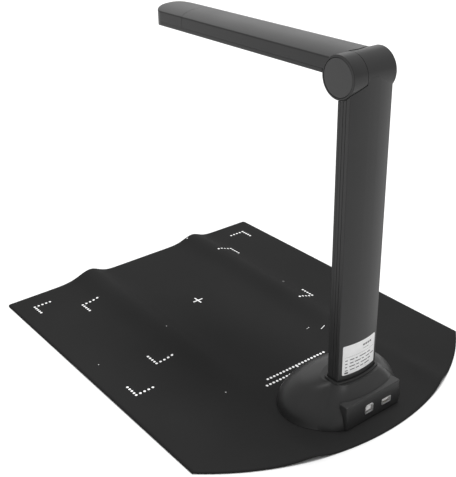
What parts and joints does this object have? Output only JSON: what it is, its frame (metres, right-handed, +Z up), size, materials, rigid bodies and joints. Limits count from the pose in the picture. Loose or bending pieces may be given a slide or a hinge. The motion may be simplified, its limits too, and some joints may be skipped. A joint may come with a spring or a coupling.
{
  "type": "document camera",
  "caption": "Folding document camera: a weighted oval base with rear sockets, a flat mast and a hinged arm with a downward camera, standing on a printed copy mat.",
  "frame": {"origin": "middle of the whole object's footprint, on the surface that the mat lies on", "axes": "+X across the mat, +Y towards the sockets at the rear, +Z up"},
  "size_m": [0.48, 0.591, 0.4633],
  "materials": {
    "mat_sheet": "matte soft sheet, dark grey-black, white printed size marks",
    "charcoal_shell": "fine-textured charcoal ABS",
    "cap_plastic": "satin charcoal ABS, slightly darker",
    "steel": "zinc-plated",
    "foot_rubber": "matte",
    "board": "solder mask green",
    "socket_metal": "nickel-plated",
    "socket_insert": "white nylon",
    "label_film": "silver-white label film",
    "washer_brass": "plain",
    "window_glass": "clear, anti-reflective",
    "lens_glass": "coated",
    "barrel_metal": "black anodised",
    "diffuser": "frosted white acrylic",
    "led_chip": "phosphor yellow",
    "switch_plastic": "moulded"
  },
  "bodies": {
    "stand": {"copy_mat": "mat_sheet", "base_shell": "charcoal_shell", "base_plate": "cap_plastic", "base_ballast": "steel", "rubber_feet": "foot_rubber", "base_screws": "steel", "socket_housing": "charcoal_shell", "main_board": "board", "usb_b_shell": "socket_metal", "usb_b_insert": "socket_insert", "usb_a_shell": "socket_metal", "usb_a_insert": "socket_insert", "mast_foot_bracket": "steel", "mast_foot_screws": "steel", "mast_rear_shell": "charcoal_shell", "mast_front_cover": "charcoal_shell", "rating_label": "label_film", "mast_hinge_plate": "steel", "hinge_shaft": "steel", "friction_washers": "washer_brass", "disc_springs": "steel", "hinge_lock_nut": "steel", "mast_end_cap": "cap_plastic"},
    "arm": {"arm_top_cover": "charcoal_shell", "arm_bottom_cover": "charcoal_shell", "camera_head_cap": "charcoal_shell", "arm_hinge_plate": "steel", "arm_end_cap": "cap_plastic", "lens_bezel": "cap_plastic", "lens_window": "window_glass", "lens_barrel": "barrel_metal", "front_lens": "lens_glass", "lens_holder": "cap_plastic", "camera_board": "board", "led_diffusers": "diffuser", "led_boards": "board", "lamp_leds": "led_chip", "button_switch": "switch_plastic", "button_board": "board"},
    "button": {"lamp_button": "cap_plastic"}
  },
  "joints": [
    {"name": "arm_fold", "type": "hinge", "parent": "stand", "child": "arm", "pos_m": [0, 0.213, 0.438], "axis": [1, 0, 0], "range_deg": [0, 90]},
    {"name": "lamp_press", "type": "slide", "parent": "arm", "child": "button", "axis": [0, 0, 1], "range_m": [0, 0.0008], "stiffness_N_per_m": 1500, "springref_m": -0.0005}
  ]
}
